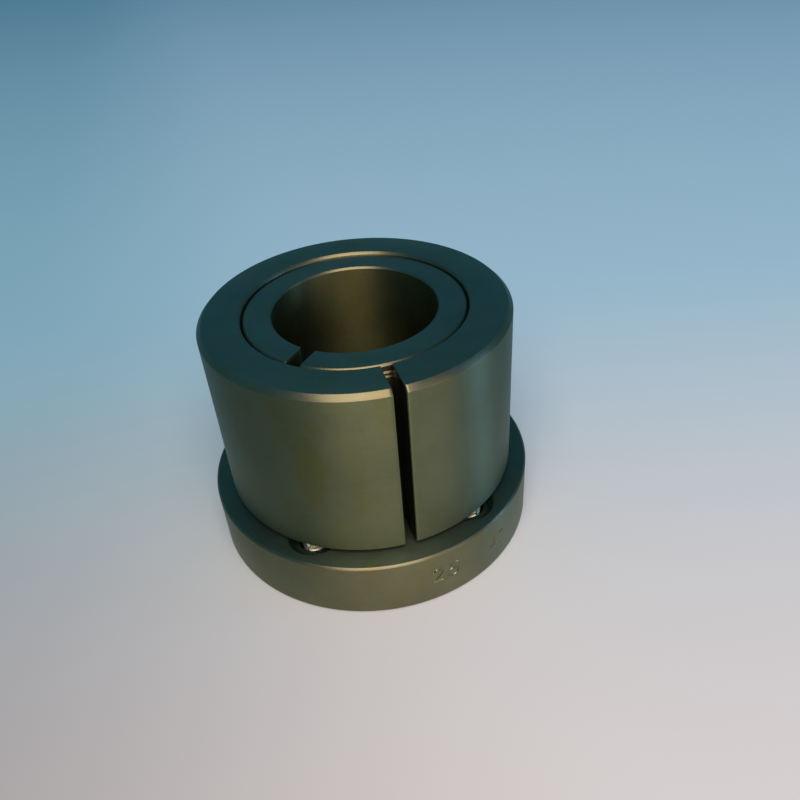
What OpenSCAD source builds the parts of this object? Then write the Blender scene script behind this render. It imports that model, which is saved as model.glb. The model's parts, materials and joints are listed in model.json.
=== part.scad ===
// Split taper clamp bushing for a keyless joint between a shaft and a hub.
// Five screws draw the split outer sleeve down a split taper sleeve that stands on a solid flange.
// Origin on the axis at the flange's bottom face, +Z up the shaft, angles counter-clockwise from +X.

/* [Sleeves] */
// Height from the flange's bottom face to the outer sleeve's top face
overall_h = 38.7; // [34:0.1:50]
// Outside diameter of the outer sleeve, which seats in the hub
sleeve_d = 47; // [45:0.5:54]
// Shaft bore of the inner sleeve
bore_d = 25; // [20:0.5:26]
// Wall of the inner sleeve at its top
inner_wall = 4.3; // [3.6:0.1:4.8]
// How far the inner sleeve's top lies below the outer sleeve's top
inner_drop = 0.4; // [0:0.1:1.5]
// Half angle of the taper, which widens towards the flange
taper_angle = 1.5; // [1:0.1:2.2]
// Gap between the two tapers, measured along the radius
taper_gap = 0.3; // [0.1:0.05:0.4]

/* [Slits] */
// Width of the slit through the outer sleeve
outer_slit_w = 1.7; // [1:0.1:2.5]
// Direction of the outer sleeve's slit
outer_slit_angle = 280.8; // [0:0.1:360]
// Width of the slit through the inner sleeve
inner_slit_w = 2.3; // [1:0.1:3]
// Direction of the inner sleeve's slit
inner_slit_angle = 236.7; // [0:0.1:360]

/* [Grooves] */
// Number of fine grooves turned round the taper near its top
groove_count = 2; // [1:1:4]
// Distance of the first groove below the inner sleeve's top
groove_first = 1.2; // [0.8:0.1:2]
// Distance from one groove to the next
groove_pitch = 0.7; // [0.6:0.05:1.2]
// Depth of a groove, with flanks at 45 degrees
groove_depth = 0.25; // [0.1:0.05:0.3]

/* [Flange] */
// Thickness of the flange
flange_t = 9.8; // [9:0.1:14]
// How far the flange stands out past the outer sleeve
flange_lip = 2.8; // [2.2:0.1:6]
// Gap between the flange and the outer sleeve, left for drawing up
seat_gap = 0.3; // [0.2:0.05:1]
// Wall of the inner sleeve's spigot, which sits in the flange
spigot_wall = 2.4; // [2:0.1:2.8]
// Depth of the seat for that spigot
spigot_seat = 2; // [1.5:0.1:3]
// Gap round the spigot and round the shaft where it passes the flange
flange_clearance = 0.3; // [0.2:0.05:0.6]

/* [Screws] */
// Number of clamp screws
screw_count = 5; // [3:1:6]
// Direction of the first clamp screw
screw_angle = 241.3; // [0:0.1:360]
// Thread size of the clamp screws
screw_d = 4; // [3:0.5:4]
// Pitch of the clamp screws' thread
screw_pitch = 0.7; // [0.5:0.05:0.8]
// Length of a clamp screw under its head
screw_length = 16; // [14:1:20]
// Diameter of a clamp screw's head
head_d = 7; // [6.5:0.1:7.4]
// Height of a clamp screw's head
head_h = 4; // [3:0.1:4.2]
// Hexagon socket in the head, across the flats
socket_af = 3; // [2:0.5:3.5]
// Depth of the hexagon socket
socket_depth = 2; // [1:0.1:2.5]
// How far the heads sit inside the flange's bottom face
head_sink = 0.5; // [0.2:0.1:1]
// Gap round a head in its counterbore
head_clearance = 0.5; // [0.3:0.05:0.6]
// Diameter of the flange holes, which are threaded for larger jack screws
jack_d = 5.4; // [5.2:0.1:5.8]
// Diameter of the countersunk mouth of a flange hole
jack_mouth_d = 8.2; // [6.5:0.1:9.4]

/* [Edges] */
// Chamfer on the outer sleeve's outer edges
sleeve_chamfer = 0.75; // [0.3:0.05:1.2]
// Chamfer on the outer sleeve's bore edges
mouth_chamfer = 0.4; // [0.2:0.1:0.6]
// Chamfer on the inner sleeve's edges
inner_chamfer = 0.3; // [0.2:0.05:0.6]
// Chamfer on the flange's edges
flange_chamfer = 0.3; // [0.2:0.1:1]
// Chamfer on the screws' edges
screw_chamfer = 0.3; // [0.2:0.05:0.5]

/* [Hidden] */
$fn = 96;
// Overrun of a cut past the face that it opens
over = 1;
// Play between a screw and its threaded hole, both drawn plain at the pitch diameter
thread_play = 0.1;
// Room left below a screw's tip in its hole
tip_room = 2;
// Depth of a thread as a share of its pitch, from the outside to the pitch diameter and back
pitch_line = 0.6495;

sleeve_r = sleeve_d / 2;
bore_r = bore_d / 2;
flange_r = sleeve_r + flange_lip;
sleeve_z = flange_t + seat_gap;
inner_top = overall_h - inner_drop;
spigot_z = flange_t - spigot_seat;
spigot_r = bore_r + spigot_wall;
shaft_hole_r = bore_r + flange_clearance;
screw_core_d = screw_d - pitch_line * screw_pitch;
screw_hole_d = screw_core_d + thread_play;
counterbore_r = head_d / 2 + head_clearance;
counterbore_h = head_h + head_sink;
jack_mouth_h = (jack_mouth_d - jack_d) / 2;
screw_tip_z = counterbore_h + screw_length;
screw_circle_r = (taper_r(sleeve_z) + taper_gap + sleeve_r) / 2;

// Radius of the inner sleeve's taper at a height
function taper_r(z) = bore_r + inner_wall + (inner_top - z) * tan(taper_angle);

// A slit of the given width from the axis outwards in one direction
module slit(width, angle, low, high) {
    rotate([0, 0, angle])
        translate([0, -width / 2, low - over])
            cube([sleeve_r + over, width, high - low + 2 * over]);
}

// Children repeated at each clamp screw
module at_screws() {
    for (i = [0 : screw_count - 1])
        rotate([0, 0, screw_angle + i * 360 / screw_count])
            translate([screw_circle_r, 0, 0])
                children();
}

// The ring before its slit and holes are cut
module outer_blank() {
    c = sleeve_chamfer;
    m = mouth_chamfer;
    low_r = taper_r(sleeve_z) + taper_gap;
    high_r = taper_r(overall_h) + taper_gap;
    rotate_extrude()
        polygon([
            [low_r + m, sleeve_z],
            [sleeve_r - c, sleeve_z],
            [sleeve_r, sleeve_z + c],
            [sleeve_r, overall_h - c],
            [sleeve_r - c, overall_h],
            [high_r + m, overall_h],
            [taper_r(overall_h - m) + taper_gap, overall_h - m],
            [taper_r(sleeve_z + m) + taper_gap, sleeve_z + m]
        ]);
}

module outer_sleeve() {
    color("darkolivegreen")
        difference() {
            outer_blank();
            slit(outer_slit_w, outer_slit_angle, sleeve_z, overall_h);
            at_screws()
                translate([0, 0, sleeve_z - over])
                    cylinder(d = screw_hole_d, h = screw_tip_z + tip_room - sleeve_z + over);
        }
}

// The taper sleeve before its slit is cut, with the spigot at its foot
module inner_blank() {
    c = inner_chamfer;
    rotate_extrude()
        polygon([
            [bore_r + c, spigot_z],
            [spigot_r - c, spigot_z],
            [spigot_r, spigot_z + c],
            [spigot_r, sleeve_z],
            [taper_r(sleeve_z), sleeve_z],
            [taper_r(inner_top - c), inner_top - c],
            [taper_r(inner_top - c) - c, inner_top],
            [bore_r + c, inner_top],
            [bore_r, inner_top - c],
            [bore_r, spigot_z + c]
        ]);
}

// A V groove round the taper, with its root at the given height
module taper_groove(z) {
    rotate_extrude()
        polygon([
            [taper_r(z) - groove_depth, z],
            [taper_r(z) + over, z - groove_depth - over],
            [taper_r(z) + over, z + groove_depth + over]
        ]);
}

module inner_sleeve() {
    color("slategray")
        difference() {
            inner_blank();
            for (i = [0 : groove_count - 1])
                taper_groove(inner_top - groove_first - i * groove_pitch);
            slit(inner_slit_w, inner_slit_angle, spigot_z, inner_top);
        }
}

// The solid ring before its screw holes are cut, with the seat for the spigot
module flange_blank() {
    c = flange_chamfer;
    seat_r = spigot_r + flange_clearance;
    rotate_extrude()
        polygon([
            [shaft_hole_r + c, 0],
            [flange_r - c, 0],
            [flange_r, c],
            [flange_r, flange_t - c],
            [flange_r - c, flange_t],
            [seat_r, flange_t],
            [seat_r, spigot_z],
            [shaft_hole_r, spigot_z],
            [shaft_hole_r, c]
        ]);
}

// A hole with a countersunk mouth on top and a counterbore for the head below
module flange_hole() {
    translate([0, 0, -over])
        cylinder(d = jack_d, h = flange_t + 2 * over);
    translate([0, 0, -over])
        cylinder(r = counterbore_r, h = counterbore_h + over);
    translate([0, 0, flange_t - jack_mouth_h])
        cylinder(d1 = jack_d, d2 = jack_mouth_d, h = jack_mouth_h);
    translate([0, 0, flange_t])
        cylinder(d = jack_mouth_d, h = over);
}

module flange() {
    color("dimgray")
        difference() {
            flange_blank();
            at_screws()
                flange_hole();
        }
}

// A socket head cap screw that stands head down with its head's underside on the counterbore's floor
module clamp_screw() {
    c = screw_chamfer;
    head_r = head_d / 2;
    core_r = screw_core_d / 2;
    difference() {
        rotate_extrude()
            polygon([
                [0, head_sink],
                [head_r - c, head_sink],
                [head_r, head_sink + c],
                [head_r, counterbore_h],
                [core_r, counterbore_h],
                [core_r, screw_tip_z - c],
                [core_r - c, screw_tip_z],
                [0, screw_tip_z]
            ]);
        translate([0, 0, head_sink - over])
            cylinder(d = socket_af / cos(30), h = socket_depth + over, $fn = 6);
    }
}

module clamp_screws() {
    color("silver")
        at_screws()
            clamp_screw();
}

outer_sleeve();
inner_sleeve();
flange();
clamp_screws();
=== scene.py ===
# %% [markdown]
# A split taper clamp bushing stands on its flange on a pale table.
# Two split sleeves share one slim taper, and screws in the flange draw the outer sleeve down the inner one.
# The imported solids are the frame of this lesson: they give every place and the main sizes.
# Each ring is modelled once more with broken edges, threads and struck figures, and replaces its plain solid.

# %% Load the frame
import json
import math
import bmesh
import bpy
from mathutils import Matrix, Vector


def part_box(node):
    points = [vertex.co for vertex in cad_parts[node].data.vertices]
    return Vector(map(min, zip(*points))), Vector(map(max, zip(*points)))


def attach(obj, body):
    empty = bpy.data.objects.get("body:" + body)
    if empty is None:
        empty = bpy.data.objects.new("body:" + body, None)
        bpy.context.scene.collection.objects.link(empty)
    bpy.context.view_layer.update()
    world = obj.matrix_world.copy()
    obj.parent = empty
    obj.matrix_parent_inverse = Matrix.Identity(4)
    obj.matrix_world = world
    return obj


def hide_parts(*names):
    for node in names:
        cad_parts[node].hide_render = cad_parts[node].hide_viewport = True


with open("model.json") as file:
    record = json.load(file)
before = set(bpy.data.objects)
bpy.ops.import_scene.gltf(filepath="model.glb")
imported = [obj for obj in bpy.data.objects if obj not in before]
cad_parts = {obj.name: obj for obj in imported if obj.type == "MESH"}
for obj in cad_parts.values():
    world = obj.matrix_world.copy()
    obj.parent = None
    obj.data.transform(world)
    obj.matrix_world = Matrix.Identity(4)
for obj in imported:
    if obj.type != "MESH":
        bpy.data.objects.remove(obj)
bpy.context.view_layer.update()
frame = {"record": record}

MM = 0.001

# %% [markdown]
# A dressed ring has to sit exactly where its solid is, so the main sizes are read and not typed again.
# A solid's box gives its outer radius and its heights, and the record's mounts give the two fitting radii.
# The scene is in metres, while the sizes here are in millimetres, as on a workshop drawing.

# %% Main sizes
sleeve_low, sleeve_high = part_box("outer_sleeve")
inner_low, inner_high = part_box("inner_sleeve")
flange_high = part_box("flange")[1]
screw_low, screw_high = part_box("clamp_screws")
mount_sizes = {mount["name"]: mount["dims"] for mount in frame["record"]["mounts"]}

SLEEVE_R = mount_sizes["hub_seat"]["r_mm"]
BORE_R = mount_sizes["shaft_bore"]["r_mm"]
FLANGE_R = flange_high.x / MM
FLANGE_T = flange_high.z / MM
SLEEVE_Z = sleeve_low.z / MM
SLEEVE_TOP = sleeve_high.z / MM
SPIGOT_Z = inner_low.z / MM
INNER_TOP = inner_high.z / MM
SCREW_Z = screw_low.z / MM
SCREW_TIP = screw_high.z / MM
print("radii", SLEEVE_R, BORE_R, round(FLANGE_R, 2), "heights", round(FLANGE_T, 2), round(SLEEVE_TOP, 2))

# %% [markdown]
# The two sleeves meet on a taper that widens towards the flange, and many cells below need its radius.
# A box can't show a slope, so the wall, the half angle and the gap are driving sizes of their own.
# Two small functions give the radius of either taper at any height.

# %% Taper
INNER_WALL = 4.3
TAPER_ANGLE = math.radians(1.5)
TAPER_GAP = 0.3


def taper_radius(height):
    """Radius of the inner sleeve's taper at a height."""
    return BORE_R + INNER_WALL + (INNER_TOP - height) * math.tan(TAPER_ANGLE)


def outer_taper(height):
    """Radius of the outer sleeve's taper bore at a height."""
    return taper_radius(height) + TAPER_GAP


print("taper radius", [round(taper_radius(height), 2) for height in (INNER_TOP, SLEEVE_Z)])

# %% [markdown]
# The camera stands where the photographer stood: in front, well above, and held a little crooked.
# Three angles could be typed in, but a place and an aim are easier to read and to correct.
# A look-at quaternion aims the camera, and a turn about its own viewing axis gives the crooked hold.

# %% Camera
CAMERA_PLACE = Vector((0.0, -97.84, 93.218)) * MM
CAMERA_AIM = Vector((5.679, -0.225, 20.0)) * MM
CAMERA_ROLL = math.radians(-4.422)
CAMERA_LENS = 33.468

camera_data = bpy.data.cameras.new("camera")
camera_data.sensor_width = 36
camera_data.lens = CAMERA_LENS
camera_data.clip_start = 0.005
camera = bpy.data.objects.new("camera", camera_data)
aim = (CAMERA_AIM - CAMERA_PLACE).to_track_quat("-Z", "Y").to_matrix().to_4x4()
camera.matrix_world = Matrix.Translation(CAMERA_PLACE) @ aim @ Matrix.Rotation(CAMERA_ROLL, 4, "Z")
bpy.context.scene.collection.objects.link(camera)
bpy.context.scene.camera = camera
bpy.context.scene.view_settings.view_transform = "Standard"
print("camera at", [round(v, 4) for v in camera.location], "with a lens of", camera_data.lens)

# %% [markdown]
# Every ring of the real part comes off a lathe, so its mesh is rows of points swept round an axis.
# A Screw modifier could sweep a profile too, but not a ring whose saw slit has two parallel walls.
# So small functions list the points and faces, and one helper turns such lists into a mesh object.
# It merges doubled points and turns all faces outwards, which bevels and booleans need.

# %% Solids from points
DOUBLED = 0.001


def solid_from(name, points, faces):
    """A mesh object from points in millimetres and the faces between them."""
    mesh = bpy.data.meshes.new(name)
    mesh.from_pydata([Vector(p) * MM for p in points], [], faces)
    work = bmesh.new()
    work.from_mesh(mesh)
    bmesh.ops.remove_doubles(work, verts=work.verts, dist=DOUBLED * MM)
    bmesh.ops.recalc_face_normals(work, faces=work.faces)
    work.to_mesh(mesh)
    work.free()
    piece = bpy.data.objects.new(name, mesh)
    bpy.context.scene.collection.objects.link(piece)
    return piece


print("points closer than", DOUBLED, "mm become one")

# %% [markdown]
# A split ring is turned from its section, and a saw then cuts it through.
# A boolean could act as the saw, but it leaves long thin faces beside the cut.
# Here the section is swept from one wall of the slit round to the other, and the ends are closed.
# At each radius the sweep starts a little later or earlier, so both walls stay flat and parallel.

# %% Rings from a section
RING_STEPS = 288


def ring(name, section, slit_w=0.0, slit_angle=0.0):
    """A ring from its section of (radius, height) points, with a slit if a width is given."""
    size = len(section)
    points = []
    for k in range(RING_STEPS + 1):
        for radius, height in section:
            half = math.asin(slit_w / 2 / radius)
            turn = math.radians(slit_angle) + half + (2 * math.pi - 2 * half) * k / RING_STEPS
            points.append((radius * math.cos(turn), radius * math.sin(turn), height))
    faces = []
    for k in range(RING_STEPS):
        for i in range(size):
            j = (i + 1) % size
            faces.append((k * size + i, k * size + j, (k + 1) * size + j, (k + 1) * size + i))
    if slit_w:
        faces += [tuple(range(size)), tuple(range(RING_STEPS * size, (RING_STEPS + 1) * size))]
    return solid_from(name, points, faces)


print("a ring has", RING_STEPS, "steps")

# %% [markdown]
# The outer sleeve is the ground ring that fills the hub, and its bore is the female taper.
# A wide chamfer on its outer edges helps it into the hub, and the top one shines in the photograph.
# A bevelled cylinder could be a start, but the chamfers inside and outside differ in size.
# So the section lists one point for each corner of the ring, and every size can be checked at a glance.

# %% Outer sleeve blank
SLEEVE_CHAMFER, MOUTH_CHAMFER = 0.75, 0.4
OUTER_SLIT_W, OUTER_SLIT_ANGLE = 1.7, 280.8

sleeve_section = [
    (outer_taper(SLEEVE_Z) + MOUTH_CHAMFER, SLEEVE_Z),
    (SLEEVE_R - SLEEVE_CHAMFER, SLEEVE_Z),
    (SLEEVE_R, SLEEVE_Z + SLEEVE_CHAMFER),
    (SLEEVE_R, SLEEVE_TOP - SLEEVE_CHAMFER),
    (SLEEVE_R - SLEEVE_CHAMFER, SLEEVE_TOP),
    (outer_taper(SLEEVE_TOP) + MOUTH_CHAMFER, SLEEVE_TOP),
    (outer_taper(SLEEVE_TOP - MOUTH_CHAMFER), SLEEVE_TOP - MOUTH_CHAMFER),
    (outer_taper(SLEEVE_Z + MOUTH_CHAMFER), SLEEVE_Z + MOUTH_CHAMFER),
]
sleeve = ring("ground_outer_sleeve", sleeve_section, OUTER_SLIT_W, OUTER_SLIT_ANGLE)
print(sleeve.name, "starts with", len(sleeve.data.polygons), "faces")

# %% [markdown]
# On the real sleeve a file has rounded the outer edge of the slit's right wall, and it shines as a thin line.
# The Bevel modifier treats all sharp edges alike, while this rounding belongs to one edge only.
# So the edges on that wall are picked by their place, and the bevel operator rounds just those.

# %% Filed slit edge
FILED_R = 0.35
TOUCH = 0.01


def file_slit_edge(piece):
    """Rounds the outer edge of the outer slit's right wall."""
    angle = math.radians(OUTER_SLIT_ANGLE)
    along = Vector((math.cos(angle), math.sin(angle), 0))
    across = Vector((-along.y, along.x, 0))
    work = bmesh.new()
    work.from_mesh(piece.data)
    near_slit = [v for v in work.verts if v.co.dot(along) > 0]
    wall = [v for v in near_slit if abs(v.co.dot(across) / MM - OUTER_SLIT_W / 2) < TOUCH]
    outer = {v for v in wall if v.co.xy.length / MM > SLEEVE_R - SLEEVE_CHAMFER - TOUCH}
    edges = [e for e in work.edges if e.verts[0] in outer and e.verts[1] in outer]
    bmesh.ops.bevel(work, geom=edges, offset=FILED_R * MM, segments=4, profile=0.5, affect="EDGES")
    work.to_mesh(piece.data)
    work.free()
    print("filed", len(edges), "edges of the slit")


file_slit_edge(sleeve)

# %% [markdown]
# No edge of real steel is perfectly sharp: a stone or a brush breaks each one, and the break catches light.
# A bevel in the shader would only look like that, and it would be missing from the mesh.
# A narrow Bevel modifier finds every sharp edge by its angle instead.
# It is applied at once, so that the cuts which follow meet a finished mesh.

# %% Broken edges
EDGE_BREAK = 0.05
SHARP = math.radians(25)


def settle(piece):
    """Applies the piece's modifiers to its mesh."""
    graph = bpy.context.evaluated_depsgraph_get()
    made = bpy.data.meshes.new_from_object(piece.evaluated_get(graph))
    piece.modifiers.clear()
    old, piece.data = piece.data, made
    bpy.data.meshes.remove(old)
    made.name = piece.name


def break_edges(piece, width):
    """Rounds every sharp edge of a piece a little."""
    bevel = piece.modifiers.new("edge_break", "BEVEL")
    bevel.width = width * MM
    bevel.segments = 2
    bevel.limit_method = "ANGLE"
    bevel.angle_limit = SHARP
    settle(piece)
    print(piece.name, "has", len(piece.data.polygons), "faces with broken edges")


break_edges(sleeve, EDGE_BREAK)

# %% [markdown]
# Holes and screws are round as well, and each is a stack of rows with a flat cap at both ends.
# Primitive cylinders and cones would have to be joined to make a stepped hole.
# A stack takes any number of rows, so one solid can hold a cone, a cylinder and later even a thread.
# The first one is the cutter for a blind hole in the sleeve's bottom, with a small cone at its mouth.

# %% Stacks of rows
OVER = 1.0
SCREW_D, SCREW_SIDES = 4.0, 32
HOLE_PLAY, HOLE_LEAD, TIP_ROOM = 0.05, 0.3, 2.0
SLEEVE_HOLE_R = SCREW_D / 2 + HOLE_PLAY
SLEEVE_HOLE_TOP = SCREW_TIP + TIP_ROOM


def stack(name, rows):
    """A closed solid from rows of points round an axis."""
    count = len(rows[0])
    points = [p for row in rows for p in row]
    faces = [tuple(range(count)), tuple(range((len(rows) - 1) * count, len(rows) * count))]
    for j in range(len(rows) - 1):
        for i in range(count):
            k = (i + 1) % count
            faces.append((j * count + i, j * count + k, (j + 1) * count + k, (j + 1) * count + i))
    return solid_from(name, points, faces)


def level_row(radius, height, count):
    """A round row at one height."""
    turns = [2 * math.pi * i / count for i in range(count)]
    return [(radius * math.cos(t), radius * math.sin(t), height) for t in turns]


def sleeve_hole(name):
    """The cutter for one blind hole, which starts below the sleeve."""
    cone = [(SLEEVE_HOLE_R + OVER, SLEEVE_Z - OVER), (SLEEVE_HOLE_R, SLEEVE_Z + HOLE_LEAD)]
    profile = [*cone, (SLEEVE_HOLE_R, SLEEVE_HOLE_TOP)]
    return stack(name, [level_row(radius, height, SCREW_SIDES) for radius, height in profile])


print("blind holes go up to", round(SLEEVE_HOLE_TOP, 2), "mm with a radius of", SLEEVE_HOLE_R)

# %% [markdown]
# Five clamp screws stand on a circle midway between the sleeve's outside and its bore at the flange.
# An Array modifier could repeat a piece about an empty, but the turn of each copy is as easy to state.
# One helper makes a copy at each place and joins them, for the cutters and for the screws themselves.

# %% Copies at the screws
SCREWS, SCREW_ANGLE = 5, 241.3
SCREW_CIRCLE_R = (outer_taper(SLEEVE_Z) + SLEEVE_R) / 2


def join(name, pieces):
    """One piece from several, which keep their places."""
    work = bmesh.new()
    for piece in pieces:
        copy = piece.data.copy()
        copy.transform(piece.matrix_world)
        work.from_mesh(copy)
        bpy.data.meshes.remove(copy)
    mesh = bpy.data.meshes.new(name)
    work.to_mesh(mesh)
    work.free()
    for piece in pieces:
        bpy.data.objects.remove(piece)
    joined = bpy.data.objects.new(name, mesh)
    bpy.context.scene.collection.objects.link(joined)
    return joined


def at_screws(name, make):
    """Joins one copy of a piece at each clamp screw's place."""
    copies = []
    for i in range(SCREWS):
        copy = make(f"{name}_{i}")
        turn = Matrix.Rotation(math.radians(SCREW_ANGLE + i * 360 / SCREWS), 4, "Z")
        copy.matrix_world = turn @ Matrix.Translation((SCREW_CIRCLE_R * MM, 0, 0))
        copies.append(copy)
    bpy.context.view_layer.update()
    return join(name, copies)


print(SCREWS, "screws on a circle of", round(SCREW_CIRCLE_R, 2), "mm radius")

# %% [markdown]
# The holes are drilled last, after the edges are broken, so that the bevel has met only clean edges.
# A Boolean modifier with the exact solver takes all the cutters away in one go.
# Smooth shading then hides the facets, and a crease stays wherever two faces meet at a sharp angle.

# %% Sleeve holes
def cut(piece, cutter):
    """Takes a solid cutter out of a piece and deletes the cutter."""
    boolean = piece.modifiers.new("cut", "BOOLEAN")
    boolean.operation = "DIFFERENCE"
    boolean.solver = "EXACT"
    boolean.object = cutter
    settle(piece)
    bpy.data.objects.remove(cutter)


def smooth(piece):
    """Smooth shading with creases at the sharp edges."""
    piece.data.shade_smooth()
    piece.data.set_sharp_from_angle(angle=SHARP)
    print(piece.name, "ends with", len(piece.data.polygons), "faces")


cut(sleeve, at_screws("sleeve_hole", sleeve_hole))
smooth(sleeve)

# %% [markdown]
# The inner sleeve carries the male taper and grips the shaft, and a spigot at its foot sits in the flange.
# Two fine grooves run round the taper near the top, and they show as bright lines through the outer slit.
# Booleans could cut the grooves, but as points of the section they come with the sweep and stay clean.

# %% Inner sleeve blank
INNER_CHAMFER, INNER_EDGE_BREAK = 0.3, 0.03
INNER_SLIT_W, INNER_SLIT_ANGLE = 2.3, 236.7
GROOVE_FIRST, GROOVE_PITCH, GROOVE_DEPTH, GROOVES = 1.2, 0.7, 0.25, 2
SPIGOT_WALL = 2.4
SPIGOT_R = BORE_R + SPIGOT_WALL

grooves = []
for i in reversed(range(GROOVES)):
    root = INNER_TOP - GROOVE_FIRST - i * GROOVE_PITCH
    for height, depth in [(root - GROOVE_DEPTH, 0.0), (root, GROOVE_DEPTH), (root + GROOVE_DEPTH, 0.0)]:
        grooves.append((taper_radius(height) - depth, height))
inner_section = [
    (BORE_R + INNER_CHAMFER, SPIGOT_Z),
    (SPIGOT_R - INNER_CHAMFER, SPIGOT_Z),
    (SPIGOT_R, SPIGOT_Z + INNER_CHAMFER),
    (SPIGOT_R, SLEEVE_Z),
    (taper_radius(SLEEVE_Z), SLEEVE_Z),
    *grooves,
    (taper_radius(INNER_TOP - INNER_CHAMFER), INNER_TOP - INNER_CHAMFER),
    (taper_radius(INNER_TOP - INNER_CHAMFER) - INNER_CHAMFER, INNER_TOP),
    (BORE_R + INNER_CHAMFER, INNER_TOP),
    (BORE_R, INNER_TOP - INNER_CHAMFER),
    (BORE_R, SPIGOT_Z + INNER_CHAMFER),
]
taper_sleeve = ring("ground_inner_sleeve", inner_section, INNER_SLIT_W, INNER_SLIT_ANGLE)
break_edges(taper_sleeve, INNER_EDGE_BREAK)

# %% [markdown]
# The corner between the bore and the slit's left wall is rounded, as a file leaves it.
# The bevel operator would run across the narrow faces beside it, because the rounding is wider than they are.
# A cutter with a hollow quarter circle does it cleanly: it takes the corner away and leaves the arc.

# %% Filed slit corner
CORNER_R = 0.8
CORNER_STEPS = 9


def slit_corner(name):
    """A cutter that rounds the corner between the bore and the inner slit's left wall."""
    turn = Matrix.Rotation(math.radians(INNER_SLIT_ANGLE), 3, "Z")
    wall = -INNER_SLIT_W / 2
    bore = math.sqrt(BORE_R ** 2 - (INNER_SLIT_W / 2 + CORNER_R) ** 2)
    quarter = [math.radians(180 - 90 * i / CORNER_STEPS) for i in range(CORNER_STEPS + 1)]
    outline = [(bore + CORNER_R * (1 + math.cos(t)), wall - CORNER_R * (1 - math.sin(t))) for t in quarter]
    outline += [(bore + CORNER_R, wall + OVER), (bore - OVER, wall + OVER), (bore - OVER, wall - CORNER_R)]
    heights = (SPIGOT_Z - OVER, INNER_TOP + OVER)
    return stack(name, [[turn @ Vector((x, y, z)) for x, y in outline] for z in heights])


cut(taper_sleeve, slit_corner("slit_corner"))
smooth(taper_sleeve)

# %% [markdown]
# The flange is a solid ring that carries the screws, with a seat for the spigot and a hole for the shaft.
# A cylinder could be cut twice by booleans, but the seat and the hole would each need a cutter.
# The same sweep as for the sleeves gives both at once, and without a slit its two ends simply meet.

# %% Flange blank
FLANGE_CLEARANCE, FLANGE_CHAMFER = 0.3, 0.3
SEAT_R = SPIGOT_R + FLANGE_CLEARANCE
SHAFT_HOLE_R = BORE_R + FLANGE_CLEARANCE

flange_section = [
    (SHAFT_HOLE_R + FLANGE_CHAMFER, 0.0),
    (FLANGE_R - FLANGE_CHAMFER, 0.0),
    (FLANGE_R, FLANGE_CHAMFER),
    (FLANGE_R, FLANGE_T - FLANGE_CHAMFER),
    (FLANGE_R - FLANGE_CHAMFER, FLANGE_T),
    (SEAT_R, FLANGE_T),
    (SEAT_R, SPIGOT_Z),
    (SHAFT_HOLE_R, SPIGOT_Z),
    (SHAFT_HOLE_R, FLANGE_CHAMFER),
]
clamp_flange = ring("turned_flange", flange_section)
break_edges(clamp_flange, EDGE_BREAK)

# %% [markdown]
# The screws and the flange's holes are threaded, and a few turns show in the open mouths.
# A bump could suggest a thread, but its outline would stay smooth, so the turns are modelled.
# A thread is a stack whose rows climb one pitch in each turn, with the radius following a flat-topped wave.
# Near both ends the wave fades out, as a thread does where the tool leaves the work.

# %% Thread rows
THREAD_WAVE = [0.0, 0.15, 0.62, 1.0, 1.0, 0.62, 0.15, 0.0]


def thread_rows(core_r, crest_r, pitch, low, high, count):
    """Rows of a thread between two heights, each climbing one pitch in a turn."""
    rows = []
    steps = len(THREAD_WAVE)
    for j in range(math.ceil((high - low) / pitch + 2) * steps):
        row = []
        for i in range(count):
            turn = 2 * math.pi * i / count
            height = low - pitch + pitch * (j / steps + i / count)
            height = min(max(height, low), high)
            fade = min(1.0, (height - low) / pitch, (high - height) / pitch)
            radius = core_r + (crest_r - core_r) * THREAD_WAVE[j % steps] * fade
            row.append((radius * math.cos(turn), radius * math.sin(turn), height))
        rows.append(row)
    return rows


print("one turn of thread has", len(THREAD_WAVE), "rows")

# %% [markdown]
# Each flange hole has three parts: a counterbore below for the screw's head,
# a thread for a larger jack screw, and a wide countersunk mouth on top that peeks out past the sleeve.
# Three cutters could take them out one after another, but their edges would have to meet exactly.
# One stack holds all three parts, so a single boolean makes the whole hole.

# %% Flange holes
HEAD_D, HEAD_H, HEAD_CLEARANCE = 7.0, 4.0, 0.5
HEAD_TOP = SCREW_Z + HEAD_H
COUNTERBORE_R, COUNTERBORE_CHAMFER = HEAD_D / 2 + HEAD_CLEARANCE, 0.2
JACK_D, JACK_THREAD_D, JACK_PITCH, JACK_MOUTH_D = 5.0, 6.0, 1.0, 8.2
THREAD_LEAD = 0.6
MOUTH_Z = FLANGE_T - (JACK_MOUTH_D - JACK_D) / 2 + THREAD_LEAD
HOLE_SIDES = 48


def flange_hole(name):
    """The cutter for one whole hole, from below the flange to above it."""
    low_r = COUNTERBORE_R + COUNTERBORE_CHAMFER + OVER
    below = [(low_r, -OVER), (COUNTERBORE_R, COUNTERBORE_CHAMFER), (COUNTERBORE_R, HEAD_TOP)]
    mouth = [(JACK_D / 2 + THREAD_LEAD, MOUTH_Z), (JACK_MOUTH_D / 2 + OVER, FLANGE_T + OVER)]
    rows = [level_row(radius, height, HOLE_SIDES) for radius, height in below]
    rows += thread_rows(JACK_D / 2, JACK_THREAD_D / 2, JACK_PITCH, HEAD_TOP, MOUTH_Z, HOLE_SIDES)
    rows += [level_row(radius, height, HOLE_SIDES) for radius, height in mouth]
    return stack(name, rows)


cut(clamp_flange, at_screws("flange_hole", flange_hole))
print(clamp_flange.name, "has", len(clamp_flange.data.polygons), "faces with its holes")

# %% [markdown]
# Size figures are struck into the flange's rim with hand punches: the bore and the outside in millimetres.
# A text object would bring a font's smooth outlines, while a punch leaves even, round-bottomed strokes.
# So each figure is a few strokes in a small box of its own, with arcs for the round stretches.

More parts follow.
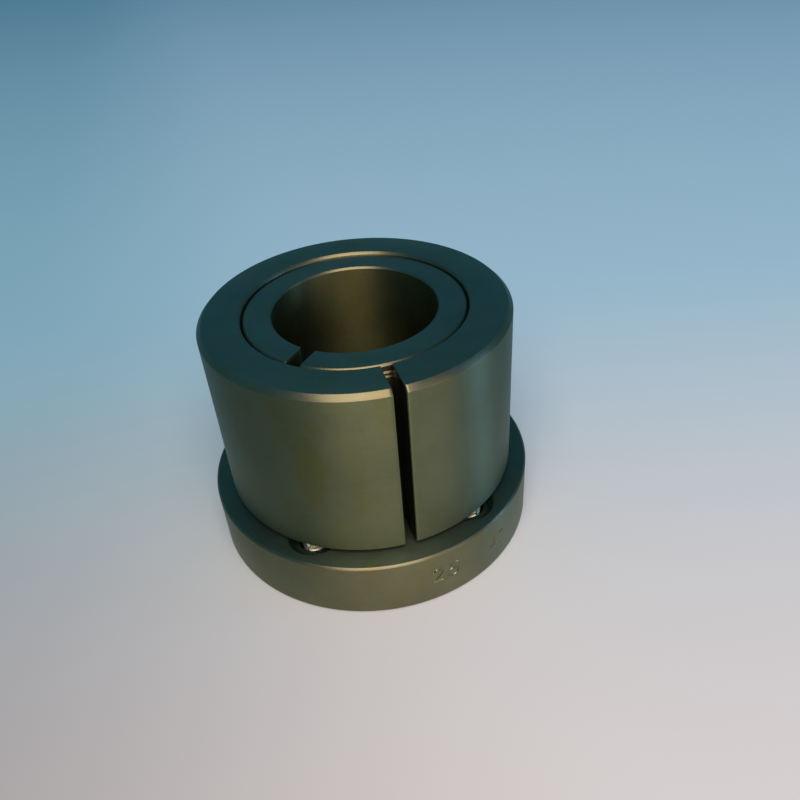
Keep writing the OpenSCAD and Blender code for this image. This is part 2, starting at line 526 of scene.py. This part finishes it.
# %% Strokes of the figures
def arc(x, y, radius, start, end, steps=9):
    """Points along an arc between two angles in degrees."""
    turns = [math.radians(start + (end - start) * i / steps) for i in range(steps + 1)]
    return [(x + radius * math.cos(t), y + radius * math.sin(t)) for t in turns]


FIGURES = {
    "2": [arc(0.28, 0.72, 0.28, 170, -40), [(0.49, 0.54), (0.0, 0.0)], [(0.0, 0.0), (0.58, 0.0)]],
    "5": [[(0.54, 1.0), (0.1, 1.0)], [(0.1, 1.0), (0.05, 0.56)], arc(0.25, 0.31, 0.31, 128, -140)],
    "4": [[(0.44, 0.0), (0.44, 1.0)], [(0.44, 1.0), (0.0, 0.3)], [(0.0, 0.3), (0.6, 0.3)]],
    "7": [[(0.0, 1.0), (0.56, 1.0)], [(0.56, 1.0), (0.2, 0.0)]],
}
print("strokes of the figures", {figure: len(strokes) for figure, strokes in FIGURES.items()})

# %% [markdown]
# The tip of a punch is narrow and rounded, so each stroke is a shallow groove with round ends.
# A curve with a bevel could draw that shape, but it would have to be turned into a mesh before it can cut.
# The cutter is a stack again: its rows stand across the stroke, and smaller rows close both ends.

# %% Punch strokes
PUNCH_SIDES = 10
PUNCH_TIP = [(0.92, 0.38), (0.7, 0.71), (0.38, 0.92)]


def punch_stroke(name, path, angle, height, size, radius, depth):
    """A round cutter along a stroke that is laid on the rim."""
    axis_r = FLANGE_R + radius - depth
    middle = []
    for x, y in path:
        turn = math.radians(angle + math.degrees(x * size / FLANGE_R))
        middle.append(Vector((axis_r * math.cos(turn), axis_r * math.sin(turn), height + y * size)))
    start = (middle[1] - middle[0]).normalized() * radius
    end = (middle[-1] - middle[-2]).normalized() * radius
    stations = [(middle[0] - start * shift, start, scale) for shift, scale in PUNCH_TIP]
    for i, point in enumerate(middle):
        stations.append((point, middle[min(i + 1, len(middle) - 1)] - middle[max(i - 1, 0)], 1.0))
    stations += [(middle[-1] + end * shift, end, scale) for shift, scale in reversed(PUNCH_TIP)]
    rows = []
    for point, ahead, scale in stations:
        out = Vector((point.x, point.y, 0)).normalized()
        side = ahead.cross(out).normalized()
        spokes = [2 * math.pi * k / PUNCH_SIDES for k in range(PUNCH_SIDES)]
        rows.append([point + radius * scale * (math.cos(t) * out + math.sin(t) * side) for t in spokes])
    return stack(name, rows)


print("a straight stroke has", 2 + 2 * len(PUNCH_TIP), "rows of", PUNCH_SIDES, "points")

# %% [markdown]
# A punch is struck once for each figure, and its strokes overlap where they meet.
# All strokes could be joined into one cutter, but a cutter that overlaps itself confuses a boolean.
# So every stroke is cut on its own.

# %% Struck figures
FIGURE_STEP = 1.05


def strike(piece, figures, angle, height, size, radius, depth):
    """Strikes figures side by side into the rim, starting at an angle."""
    for place, figure in enumerate(figures):
        start = angle + math.degrees(place * FIGURE_STEP * size / FLANGE_R)
        for path in FIGURES[figure]:
            cut(piece, punch_stroke(f"stroke_{figure}", path, start, height, size, radius, depth))
    print("struck", figures, "at", angle, "degrees")


strike(clamp_flange, "25", angle=285.8, height=4.1, size=2.6, radius=0.3, depth=0.2)
strike(clamp_flange, "47", angle=310.0, height=3.9, size=2.2, radius=0.26, depth=0.15)
smooth(clamp_flange)

# %% [markdown]
# The clamp screws are socket head cap screws that stand head down in the counterbores.
# Only a few turns of their bright thread show in the mouths of the flange's holes.
# A head and a threaded rod could be two meshes, but they would leave a seam between them.
# Here head, thread and tip are one stack of rows, and a hexagonal cutter makes the socket.

# %% Clamp screws
SCREW_PITCH, SCREW_CHAMFER = 0.7, 0.3
SOCKET_AF, SOCKET_DEPTH, SOCKET_SIDES = 3.0, 2.0, 6
THREAD_DEPTH = 0.6134
SCREW_CORE_R = SCREW_D / 2 - THREAD_DEPTH * SCREW_PITCH


def hexagon(name):
    """The cutter for a head's socket."""
    corner_r = SOCKET_AF / math.cos(math.pi / SOCKET_SIDES) / 2
    heights = (SCREW_Z - OVER, SCREW_Z + SOCKET_DEPTH)
    return stack(name, [level_row(corner_r, height, SOCKET_SIDES) for height in heights])


def clamp_screw(name):
    """One screw on the axis, with its head below."""
    head_r, thread_top = HEAD_D / 2, SCREW_TIP - SCREW_CHAMFER
    head = [(head_r - SCREW_CHAMFER, SCREW_Z), (head_r, SCREW_Z + SCREW_CHAMFER), (head_r, HEAD_TOP)]
    rows = [level_row(radius, height, SCREW_SIDES) for radius, height in head]
    rows += thread_rows(SCREW_CORE_R, SCREW_D / 2, SCREW_PITCH, HEAD_TOP, thread_top, SCREW_SIDES)
    rows += [level_row(SCREW_CORE_R - SCREW_CHAMFER, SCREW_TIP, SCREW_SIDES)]
    screw = stack(name, rows)
    cut(screw, hexagon("hexagon"))
    return screw


screws = at_screws("threaded_clamp_screws", clamp_screw)
smooth(screws)

# %% [markdown]
# A finish is a graph of shader nodes, and a long graph is hard to read when its nodes are wired one by one.
# So a small class wraps a socket, and plain arithmetic on such values adds the Math nodes.
# Each operator comes with its reflected form, so that 1 - mask works as well as mask - 1.

# %% Shader arithmetic
def operator(operation):
    """A Math node's operator and its reflected form."""
    def forward(self, other):
        return self.graph.node("ShaderNodeMath", {"operation": operation}, {0: self, 1: other})

    def reflected(self, other):
        return self.graph.node("ShaderNodeMath", {"operation": operation}, {0: other, 1: self})

    return forward, reflected


class Value:
    """A socket of a node graph that can be added, multiplied and so on."""

    def __init__(self, graph, socket):
        self.graph, self.socket = graph, socket

    __add__, __radd__ = operator("ADD")
    __sub__, __rsub__ = operator("SUBTRACT")
    __mul__, __rmul__ = operator("MULTIPLY")
    __truediv__, __rtruediv__ = operator("DIVIDE")
    __pow__, __rpow__ = operator("POWER")


print("shader values can be added, subtracted, multiplied, divided and raised")

# %% [markdown]
# A second class holds one material's graph.
# Every node could be made and linked by lines of its own, but the links would soon hide the idea.
# So one method takes a node's type, its settings and its inputs, and gives back an output as a value.
# The settings are set first, because some of them decide which sockets a node has.

# %% Graph of a finish
class Finish:
    """A material's node graph."""

    def __init__(self, name):
        self.material = bpy.data.materials.new(name)
        self.material.use_nodes = True
        self.tree = self.material.node_tree
        self.shader = self.tree.nodes["Principled BSDF"]

    def put(self, socket, value):
        if isinstance(value, Value):
            self.tree.links.new(value.socket, socket)
        else:
            socket.default_value = value

    def node(self, kind, settings=None, inputs=None, output=0):
        made = self.tree.nodes.new(kind)
        for key, value in (settings or {}).items():
            setattr(made, key, value)
        for key, value in (inputs or {}).items():
            self.put(made.inputs[key], value)
        return Value(self, made.outputs[output])

    def surface(self, **inputs):
        for key, value in inputs.items():
            self.put(self.shader.inputs[key.replace("_", " ").title()], value)


print("a finish starts from the Principled shader")

# %% [markdown]
# The marks on turned and ground steel follow the part, so a finish needs the place of each point on it.
# Unwrapped images could carry the marks, but noise in space has no seams and stays sharp at any distance.
# These four helpers give the place in millimetres, noise that is stretched along it, a soft step and a blend.

# %% Places, noise and masks
def places(finish):
    """The surface's place in millimetres along x, y and z, and its distance from the axis."""
    spot = finish.node("ShaderNodeTexCoord", output="Object")
    x, y, z = [finish.node("ShaderNodeSeparateXYZ", inputs={0: spot}, output=i) * (1 / MM) for i in range(3)]
    return x, y, z, (x * x + y * y) ** 0.5


def noise(finish, place, scale, detail):
    """Smooth noise at a place, with a scale that says how often it changes in a millimetre of each axis."""
    inputs = {axis: place[axis] * scale[axis] for axis in range(3)}
    point = finish.node("ShaderNodeCombineXYZ", inputs=inputs)
    return finish.node("ShaderNodeTexNoise", inputs={"Vector": point, "Scale": 1.0, "Detail": detail})


def step(finish, value, low, high):
    """A soft step from 0 at low to 1 at high."""
    inputs = {"Value": value, "From Min": low, "From Max": high}
    return finish.node("ShaderNodeMapRange", {"interpolation_type": "SMOOTHSTEP"}, inputs)


def blend(finish, factor, first, second):
    """A colour between two colours."""
    inputs = {"Factor": factor, 6: first, 7: second}
    return finish.node("ShaderNodeMix", {"data_type": "RGBA"}, inputs, output=2)


print("helpers for places, noise, steps and blends are ready")

# %% [markdown]
# Grinding and turning leave fine lines, which a scratched image could show as well, though with seams.
# Stretched noise gives them too, and the kinds differ only in which way the lines run.
# On a ground side they run round the ring, so the noise is drawn out along x and y and packed along z.
# On a turned face they are circles about the axis, so the noise is packed along the radius.
# A saw leaves coarser lines along its stroke, so on a sawn wall the noise is packed along z alone.

# %% Lines of grinding, turning and sawing
FINE, DRIFT = 9.0, 0.3
SAW_FINE, SAW_DRIFT = 4.0, 0.4


def round_lines(finish, x, y, z, radius):
    return noise(finish, (x, y, z), (DRIFT, DRIFT, FINE), detail=4.0)


def circle_lines(finish, x, y, z, radius):
    return noise(finish, (radius, x, y), (FINE, DRIFT, DRIFT), detail=4.0)


def saw_lines(finish, x, y, z, radius):
    return noise(finish, (radius, z, 0.0), (SAW_DRIFT, SAW_FINE, 1.0), detail=3.0)


print("fine lines", FINE, "and saw lines", SAW_FINE, "to the millimetre")

# %% [markdown]
# The steel has been oiled, and the film has dried unevenly: it takes away blue and leaves an olive cast.
# The film lies in soft patches all over, and a stain is a thicker spot of it on the sleeve's front.
# Painting stains on a texture would tie them to one mesh, while a soft oval in space needs only five numbers.

# %% Film of oil
PATCH_EDGE, PATCH_FILM = (0.45, 0.7), 0.5
STAIN_EDGE, STAIN_RAGGED = (0.3, 1.2), 0.8
FRONT_FADE = (-15.0, -19.0)
FILM_GREEN, FILM_BLUE = 0.94, 0.66


def oil_film(finish, x, y, z, patch, stains):
    """How thick the film is, from soft patches and from stains on the front."""
    film = step(finish, patch, *PATCH_EDGE) * PATCH_FILM
    for stain in stains:
        across, up = (x - stain["x"]) / stain["width"], (z - stain["z"]) / stain["height"]
        reach = across * across + up * up + patch * STAIN_RAGGED - STAIN_RAGGED / 2
        spot = 1 - step(finish, reach, *STAIN_EDGE)
        film = film + spot * step(finish, y, *FRONT_FADE) * stain["strength"]
    return film


def filmed(tone):
    """A steel's tone under a thick film, which takes away a little green and much blue."""
    return tone[0], tone[1] * FILM_GREEN, tone[2] * FILM_BLUE


print("a grey of 0.1 turns to", [round(v, 3) for v in filmed((0.1, 0.1, 0.1))], "under a thick film")

# %% [markdown]
# On oiled steel the tone and the gloss drift in wide clouds, with small flecks and fine lines over them.
# A single colour would look like plastic, because real steel never reflects quite evenly.
# Lines that run round the axis scatter light up and down much more than sideways.
# The shader's anisotropy does the same: with a quarter turn, each highlight becomes a band along the axis.

# %% Oiled steel
CLOUD, PATCH, FLECK = (0.11, 0.11, 0.09), (0.3, 0.3, 0.22), (1.6, 1.6, 1.6)
PATCH_SHIFT = 7 / PATCH[0]
SHADE_FLOOR, CLOUD_SHADE, LINE_SHADE, FLECK_SHADE = 0.6, 0.46, 0.24, 0.1
GLOSS_DROP, CLOUD_GLOSS, FLECK_GLOSS = 0.05, 0.08, 0.05
RELIEF_DEPTH, RELIEF_STRENGTH, LINE_RELIEF, FLECK_RELIEF = 0.02, 0.16, 0.7, 0.3
QUARTER_TURN = 0.25


def oiled_steel(name, tone, lines_of, roughness, grain, stains=()):
    """Steel of one tone, clouded by oil, with lines from a function of the place."""
    finish = Finish(name)
    x, y, z, radius = places(finish)
    cloud = noise(finish, (x, y, z), CLOUD, detail=4.0)
    patch = noise(finish, (x + PATCH_SHIFT, y, z), PATCH, detail=3.0)
    fleck = noise(finish, (x, y, z), FLECK, detail=2.0)
    lines = lines_of(finish, x, y, z, radius)

    film = oil_film(finish, x, y, z, patch, stains)
    hue = blend(finish, film, (*tone, 1), (*filmed(tone), 1))
    shade = SHADE_FLOOR + cloud * CLOUD_SHADE + lines * LINE_SHADE + fleck * FLECK_SHADE
    grey = finish.node("ShaderNodeCombineColor", inputs={0: shade, 1: shade, 2: shade})
    colour = finish.node("ShaderNodeMix", {"data_type": "RGBA", "blend_type": "MULTIPLY"},
                         {"Factor": 1.0, 6: hue, 7: grey}, output=2)
    gloss = roughness - GLOSS_DROP + cloud * CLOUD_GLOSS + fleck * FLECK_GLOSS
    height = lines * LINE_RELIEF + fleck * FLECK_RELIEF
    relief = {"Strength": RELIEF_STRENGTH, "Distance": RELIEF_DEPTH * MM, "Height": height}
    bump = finish.node("ShaderNodeBump", inputs=relief)
    finish.surface(base_color=colour, metallic=1.0, roughness=gloss, normal=bump)
    finish.surface(anisotropic=grain, anisotropic_rotation=QUARTER_TURN)
    print(name, "has", len(finish.tree.nodes), "nodes")
    return finish.material


print("clouds change", CLOUD, "patches", PATCH, "and flecks", FLECK, "times in a millimetre")

# %% [markdown]
# Each piece has several surfaces with finishes of their own, such as ground sides, faced ends and cut walls.
# They could be separate objects, but the real piece is one, so it stays one mesh with several slots.
# A finish is given face by face: a small function looks at a face's place and direction and names its finish.
# Ends look straight up or down, chamfers are tilted, and the walls of a slit lie on two known planes.

# %% Finishes face by face
END_TILT, CHAMFER_TILT = 0.9, 0.4
WALL_TILT, WALL_REACH = 0.95, 0.05


def end_or_chamfer(normal):
    """Which of the two a face is by its tilt, if it is either."""
    if abs(normal.z) > END_TILT:
        return "end"
    return "chamfer" if abs(normal.z) > CHAMFER_TILT else None


def on_slit(place, normal, width, angle):
    """Whether a face lies on one of a slit's two walls."""
    across = Vector((-math.sin(math.radians(angle)), math.cos(math.radians(angle)), 0))
    return abs(normal.dot(across)) > WALL_TILT and abs(abs(place.dot(across)) - width / 2) < WALL_REACH


def screw_distance(place):
    """Distance in millimetres from a place to the nearest clamp screw's axis."""
    turns = [math.radians(SCREW_ANGLE + i * 360 / SCREWS) for i in range(SCREWS)]
    return min((place.xy - Vector((math.cos(t), math.sin(t))) * SCREW_CIRCLE_R).length for t in turns)


def finish_faces(piece, finishes, choose):
    """Gives each face of a piece the finish that its place and direction choose."""
    names = list(finishes)
    piece.data.materials.clear()
    for name in names:
        piece.data.materials.append(finishes[name])
    chosen = [choose(polygon.center / MM, polygon.normal) for polygon in piece.data.polygons]
    for polygon, name in zip(piece.data.polygons, chosen):
        polygon.material_index = names.index(name)
    print(piece.name, "faces", {name: chosen.count(name) for name in names})


print("an end is within", round(math.degrees(math.acos(END_TILT))), "degrees of level")

# %% [markdown]
# The outer sleeve is ground olive grey outside, with a paler chamfer, cool faced ends and dark cut walls.
# The paler chamfer is a painted highlight, the teal of the faced ends is partly a painted reflection of the
# cold room, and the dark cut walls are painted shade in the slit and the holes.
# Two stains of dried oil mark its front, a tall one left of the slit and a small one right of it.
# One steel for the whole sleeve would be simpler, but here each surface has a tone of its own, partly painted
# light.
# The strong grain on the side draws the lamps' reflections out into soft bands from top to bottom.

# %% Finish of the outer sleeve
# The chamfers' paler straw tone brightens the lamps' highlight on them: a painted highlight.
SIDE_OLIVE, CHAMFER_HIGHLIGHT_STRAW = (0.091, 0.12, 0.073), (0.108, 0.124, 0.088)
# The teal of the faced ends is partly a painted reflection of the cold room above them.
FACE_TEAL, CUT_PAINTED_SHADE = (0.05, 0.104, 0.092), (0.022, 0.028, 0.02)
GRAIN = 0.85
OIL_STAINS = [
    {"x": -8.6, "z": 25.5, "width": 2.4, "height": 7.0, "strength": 0.9},
    {"x": 8.2, "z": 27.5, "width": 0.9, "height": 1.2, "strength": 0.5},
]
HOLE_REACH, MOUTH_REACH = 0.1, 0.3

ground_side = oiled_steel("ground_side", SIDE_OLIVE, round_lines, 0.45, GRAIN, OIL_STAINS)
painted_highlight_chamfer = oiled_steel("painted_highlight_chamfer", CHAMFER_HIGHLIGHT_STRAW, round_lines, roughness=0.41, grain=0.78)
faced_end = oiled_steel("faced_end", FACE_TEAL, circle_lines, roughness=0.42, grain=0.2)
# The cut walls' dark tone is painted shade for the slit, the holes and the thread roots.
shaded_cut_wall = oiled_steel("shaded_cut_wall", CUT_PAINTED_SHADE, saw_lines, roughness=0.5, grain=0.0)


def sleeve_finish(place, normal):
    hole_height = SLEEVE_Z + TOUCH < place.z < SLEEVE_HOLE_TOP + HOLE_REACH
    in_hole = hole_height and screw_distance(place) < SLEEVE_HOLE_R + MOUTH_REACH
    if in_hole or on_slit(place, normal, OUTER_SLIT_W, OUTER_SLIT_ANGLE):
        return "cut"
    return end_or_chamfer(normal) or "side"


sleeve_finishes = {"side": ground_side, "end": faced_end, "chamfer": painted_highlight_chamfer, "cut": shaded_cut_wall}
finish_faces(sleeve, sleeve_finishes, sleeve_finish)

# %% [markdown]
# The inner sleeve shares the ends and the chamfers with the outer one, so the flanks of its grooves get the
# painted highlight too.
# Its bore is honed and takes a warm brown sheen, while its taper is darkened by painted shade, as shade falls
# in the narrow gap.
# The walls of its slit get a dark greenish tone of their own.

# %% Finish of the inner sleeve
# The dark taper tone is painted shade for the narrow gap between the two sleeves.
BORE_BROWN, TAPER_PAINTED_SHADE, SAWN_GREEN = (0.062, 0.079, 0.04), (0.034, 0.042, 0.028), (0.034, 0.058, 0.034)
BORE_REACH = 0.05

honed_bore = oiled_steel("honed_bore", BORE_BROWN, round_lines, roughness=0.45, grain=0.75)
shaded_taper = oiled_steel("shaded_taper", TAPER_PAINTED_SHADE, round_lines, roughness=0.45, grain=GRAIN)
sawn_wall = oiled_steel("sawn_wall", SAWN_GREEN, saw_lines, roughness=0.5, grain=0.0)


def taper_finish(place, normal):
    if on_slit(place, normal, INNER_SLIT_W, INNER_SLIT_ANGLE):
        return "cut"
    side = "bore" if place.xy.length < BORE_R + BORE_REACH else "taper"
    return end_or_chamfer(normal) or side


taper_finishes = {"taper": shaded_taper, "bore": honed_bore, "end": faced_end,
                  "chamfer": painted_highlight_chamfer, "cut": sawn_wall}
finish_faces(taper_sleeve, taper_finishes, taper_finish)

# %% [markdown]
# The flange is turned and not ground, so its rim has less grain and a paler olive tone.
# Its top face is a cooler grey, partly a painted reflection of the cold room,
# and its holes fall off into dark green and black.
# The dark green and black is painted shade, as shadow alone leaves the holes too light, so they have finishes
# of their own.

# %% Finish of the flange
# The cool tint of the flange's top face is partly a painted reflection of the cold room.
RIM_OLIVE, FACE_GREY, MOUTH_SHADE_GREEN = (0.124, 0.142, 0.083), (0.062, 0.098, 0.077), (0.03, 0.075, 0.06)

turned_rim = oiled_steel("turned_rim", RIM_OLIVE, round_lines, roughness=0.45, grain=0.7)
turned_face = oiled_steel("turned_face", FACE_GREY, circle_lines, roughness=0.46, grain=0.52)
# The mouths' dark green tone is painted shade inside the holes.
shaded_countersunk_mouth = oiled_steel("shaded_countersunk_mouth", MOUTH_SHADE_GREEN, round_lines, roughness=0.5, grain=0.0)


def flange_finish(place, normal):
    on_end = abs(normal.z) > END_TILT and (place.z > FLANGE_T - TOUCH or place.z < TOUCH)
    if screw_distance(place) < JACK_MOUTH_D / 2 + HOLE_REACH and not on_end:
        return "mouth" if place.z > MOUTH_Z else "cut"
    return end_or_chamfer(normal) or "side"


flange_finishes = {"side": turned_rim, "end": turned_face, "chamfer": painted_highlight_chamfer,
                   "cut": shaded_cut_wall, "mouth": shaded_countersunk_mouth}
finish_faces(clamp_flange, flange_finishes, flange_finish)

# %% [markdown]
# The screws are bright steel, only lightly clouded, and the roots of their threads are darkened by painted
# shade.
# A mask by curvature could find the roots, but the distance of a face from its screw's axis says it exactly.

# %% Finish of the screws
SCREW_CLOUD = (0.6, 0.6, 0.6)
SCREW_GREY, SCREW_PALE = (0.6, 0.69, 0.61, 1), (0.8, 0.88, 0.79, 1)
SCREW_ROUGHNESS, SCREW_CLOUD_GLOSS = 0.28, 0.15


def bright_steel(name):
    """Plain bright steel with a light cloud."""
    finish = Finish(name)
    cloud = noise(finish, places(finish)[:3], SCREW_CLOUD, detail=3.0)
    colour = blend(finish, cloud, SCREW_GREY, SCREW_PALE)
    roughness = SCREW_ROUGHNESS + cloud * SCREW_CLOUD_GLOSS
    finish.surface(base_color=colour, metallic=1.0, roughness=roughness)
    return finish.material


ROOT_SHARE = 0.3
ROOT_R = SCREW_CORE_R + ROOT_SHARE * (SCREW_D / 2 - SCREW_CORE_R)


# The thread roots take the dark cut-wall finish, which paints shade between the crests.
def screw_finish(place, normal):
    on_thread = HEAD_TOP + TOUCH < place.z < SCREW_TIP - SCREW_CHAMFER
    return "root" if on_thread and screw_distance(place) < ROOT_R else "bright"


finish_faces(screws, {"bright": bright_steel("bright_screw_steel"), "root": shaded_cut_wall}, screw_finish)

# %% [markdown]
# Each dressed piece now takes the place of its plain solid.
# Hiding the solids by hand would do for one picture, but each piece should also ride on a body.
# The frame's own calls say which body a piece rides on and which solid it replaces.
# The bushing has no joints, so all four pieces ride on its one body.

# %% Dress the solids
def dress(piece, node):
    """Puts a piece in the place of a solid."""
    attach(piece, "root")
    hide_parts(node)
    print(piece.name, "replaces", node)


dress(sleeve, "outer_sleeve")
dress(taper_sleeve, "inner_sleeve")
dress(clamp_flange, "flange")
dress(screws, "clamp_screws")

# %% [markdown]
# The table is one large pale sheet, pinkish white in front and light blue at the back, darker on the left.
# The darker left is painted shade, as the light falls mostly from the front and the right.
# Coloured lamps could tint a white table, but they would tint the steel as well.
# So the sheet's colour drifts between four corner tones, by a soft step to the right and one to the back.
# It lies a hair below the flange, so that the two flat faces do not fight.

# %% Table
TABLE_HALF = 1600.0
TABLE_DROP = 0.02
# The left-hand corner tones are darker than the right-hand ones: painted shade on the left of the sheet.
NEAR_LEFT, NEAR_RIGHT = (0.25, 0.293, 0.336, 1), (0.414, 0.494, 0.565, 1)
FAR_LEFT, FAR_RIGHT = (0.167, 0.376, 0.525, 1), (0.232, 0.445, 0.616, 1)
LEFT_TO_RIGHT, SKEW = (-80.0, 20.0), 0.2
NEAR_TO_FAR = (-60.0, 80.0)

corners = [(-1, -1), (1, -1), (1, 1), (-1, 1)]
table = solid_from("table", [(x * TABLE_HALF, y * TABLE_HALF, 0) for x, y in corners], [(0, 1, 2, 3)])
table.location.z = -TABLE_DROP * MM
table_finish = Finish("pale_table")
table_x, table_y = places(table_finish)[:2]
to_right = step(table_finish, table_x + table_y * SKEW, *LEFT_TO_RIGHT)
to_back = step(table_finish, table_y, *NEAR_TO_FAR)
near_tone = blend(table_finish, to_right, NEAR_LEFT, NEAR_RIGHT)
far_tone = blend(table_finish, to_right, FAR_LEFT, FAR_RIGHT)
table_finish.surface(base_color=blend(table_finish, to_back, near_tone, far_tone), roughness=0.6)
table.data.materials.append(table_finish.material)
print("table is", 2 * TABLE_HALF, "mm wide")

# %% [markdown]
# Steel shows what it reflects, so each lamp is placed for one reflection.
# A large warm lamp in front and above makes the chamfers shine and gives the front its broad olive band.
# A low lamp on the right lifts the side beyond the slit.
# A small cold one further round draws the narrow teal band near the right edge.
# Point lamps would leave hard spots on metal, so all three are soft squares that look at the part.

# %% Lamps
LAMP_DISTANCE = 0.9


def soft_lamp(name, azimuth, elevation, size, power, colour):
    """A square lamp that looks at the part from a direction in degrees."""
    data = bpy.data.lights.new(name, "AREA")
    data.size = size
    data.energy = power
    data.color = colour
    a, e = math.radians(azimuth), math.radians(elevation)
    away = Vector((math.cos(a) * math.cos(e), math.sin(a) * math.cos(e), math.sin(e)))
    lamp = bpy.data.objects.new(name, data)
    turn = away.to_track_quat("Z", "Y").to_matrix().to_4x4()
    lamp.matrix_world = Matrix.Translation(away * LAMP_DISTANCE) @ turn
    bpy.context.scene.collection.objects.link(lamp)
    print(name, "of", power, "W from", azimuth, "and", elevation, "degrees")


WARM, ROSE, COLD = (1.0, 0.65, 0.46), (1.0, 0.65, 0.6), (0.36, 0.56, 1.0)

soft_lamp("front_lamp", azimuth=268, elevation=54, size=0.7, power=15.5, colour=WARM)
soft_lamp("right_lamp", azimuth=316, elevation=14, size=0.42, power=1.8, colour=ROSE)
soft_lamp("far_right_lamp", azimuth=350, elevation=8, size=0.24, power=2.0, colour=COLD)

# %% [markdown]
# The faces that look up reflect the room and not the lamps, and in the photograph they are a cold teal.
# A picture of a room could surround the part, but a plain dim blue sky gives that shade without any pattern.

# %% Sky
SKY_BLUE = (0.085, 0.26, 0.37, 1)

world = bpy.data.worlds.new("sky")
world.use_nodes = True
world.node_tree.nodes["Background"].inputs["Color"].default_value = SKY_BLUE
bpy.context.scene.world = world
print("sky colour", SKY_BLUE[:3])
